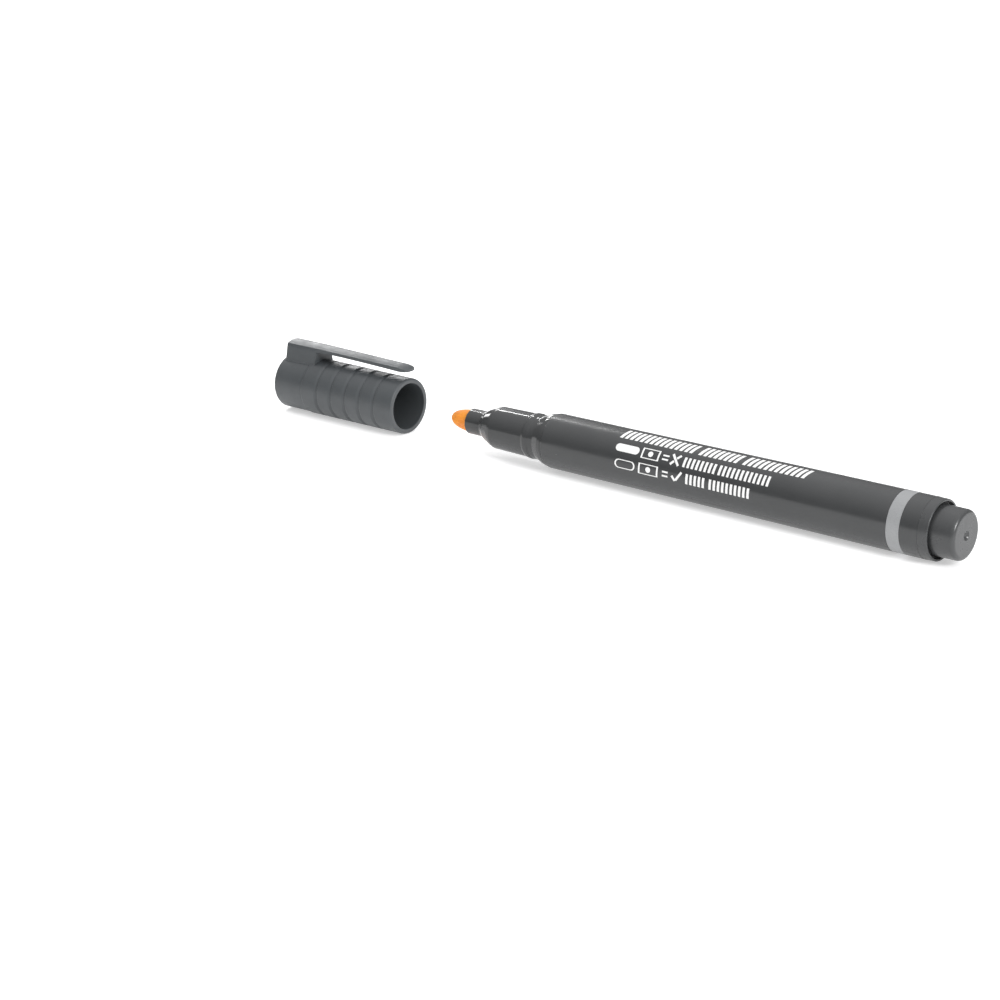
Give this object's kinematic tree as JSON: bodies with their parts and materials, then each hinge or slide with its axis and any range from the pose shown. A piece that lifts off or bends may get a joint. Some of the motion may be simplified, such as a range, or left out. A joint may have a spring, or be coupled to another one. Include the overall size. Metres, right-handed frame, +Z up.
{
  "type": "counterfeit detector pen",
  "caption": "Round felt-tip pen that marks banknotes to test the paper, with a ribbed push-on cap, a pocket clip and a bullet nib.",
  "frame": {"origin": "middle of the object's base, on the surface it lies on, with the cap pulled off in line with the pen", "axes": "+X along the pen's axis from the cap's closed end to the rear plug, the nib points to -X, +Z up through the clip"},
  "size_m": [0.1748, 0.0126, 0.0161],
  "materials": {
    "barrel_plastic": "glossy dark grey moulded polypropylene",
    "band": "satin light grey ring",
    "plug_plastic": "satin dark grey moulded plastic",
    "holder_plastic": "very glossy dark grey moulded plastic",
    "nib_fibre": "orange pressed polyester fibre, damp with ink",
    "reservoir_fibre": "ink-soaked polyester fibre bundle",
    "film": "thin clear-white wrapping film",
    "cap_plastic": "satin blue-grey moulded polypropylene",
    "liner_plastic": "soft satin grey polyethylene"
  },
  "bodies": {
    "pen": {"barrel": "barrel_plastic", "accent_band": "band", "rear_plug": "plug_plastic", "front_section": "holder_plastic", "nib": "nib_fibre", "ink_reservoir": "reservoir_fibre", "reservoir_film": "film"},
    "cap_seal": {"cap_liner": "liner_plastic"},
    "cap": {"cap_shell": "cap_plastic"},
    "clip": {"clip_arm": "cap_plastic"}
  },
  "joints": [
    {"name": "cap_slide", "type": "slide", "parent": "pen", "child": "cap_seal", "axis": [1, 0, 0], "range_m": [0, 0.039]},
    {"name": "cap_turn", "type": "hinge", "parent": "cap_seal", "child": "cap", "pos_m": [-0.06, 0, 0.0063], "axis": [1, 0, 0], "continuous": true},
    {"name": "clip_flex", "type": "hinge", "parent": "cap", "child": "clip", "pos_m": [-0.07748, 0, 0.0161], "axis": [0, -1, 0], "range_deg": [0, 4], "stiffness_Nm_per_rad": 0.6}
  ]
}
